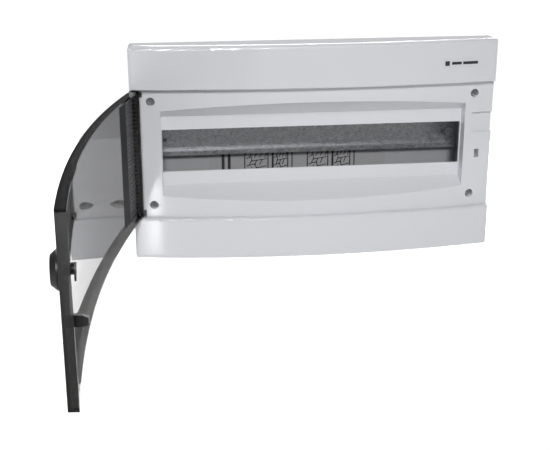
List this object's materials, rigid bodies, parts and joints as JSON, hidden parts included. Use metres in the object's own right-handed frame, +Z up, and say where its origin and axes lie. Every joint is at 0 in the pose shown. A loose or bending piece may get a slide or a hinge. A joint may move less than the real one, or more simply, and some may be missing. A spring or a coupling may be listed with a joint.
{
  "type": "breaker panel box",
  "caption": "Flush distribution box for one row of DIN-rail breakers: in-wall tub, bowed white cover and smoked hinged door with a turn latch.",
  "frame": {"origin": "centre of the tub's flat rear face, which is also the centre of its four wall fixing holes", "axes": "+Y into the wall, square to the tub's rear face; +X to the right and +Z up as seen from in front"},
  "size_m": [0.4308, 0.456, 0.232],
  "materials": {
    "tub_plastic": "fine matt moulded",
    "cover_plastic": "glossy white moulded",
    "door_smoke": "polished, smoked and see-through",
    "pin_plastic": "satin",
    "latch_plastic": "satin moulded",
    "cam_plastic": "satin moulded",
    "zinc_screws": "zinc plated",
    "rail_steel": "zinc plated, passivated",
    "black_screws": "blackened",
    "brass": "machined",
    "neutral_plastic": "matt moulded",
    "earth_plastic": "matt moulded",
    "leaflet_paper": "uncoated paper",
    "badge_print": "printed film"
  },
  "bodies": {
    "enclosure": {"wall_tub": "tub_plastic", "front_cover": "cover_plastic", "hinge_pin_upper": "pin_plastic", "hinge_pin_lower": "pin_plastic", "din_rail": "rail_steel", "rail_screws": "zinc_screws", "cover_screws": "black_screws", "cover_inserts": "brass", "neutral_bar": "brass", "earth_bar": "brass", "neutral_bar_holder": "neutral_plastic", "earth_bar_holder": "earth_plastic", "neutral_screws": "zinc_screws", "earth_screws": "zinc_screws", "bar_holder_screws": "zinc_screws", "instruction_leaflet": "leaflet_paper", "cover_badge": "badge_print"},
    "door": {"door_panel": "door_smoke", "door_catch": "cam_plastic"},
    "latch": {"latch_knob": "latch_plastic", "latch_cam": "cam_plastic", "latch_screw": "zinc_screws"}
  },
  "joints": [
    {"name": "door_hinge", "type": "hinge", "parent": "enclosure", "child": "door", "pos_m": [-0.1915, -0.0709, 0], "axis": [0, 0, 1], "range_deg": [-15, 95]},
    {"name": "latch_turn", "type": "hinge", "parent": "door", "child": "latch", "pos_m": [-0.22857, -0.43907, 0.0238], "axis": [-0.9981, -0.0609, 0], "range_deg": [0, 90]}
  ]
}
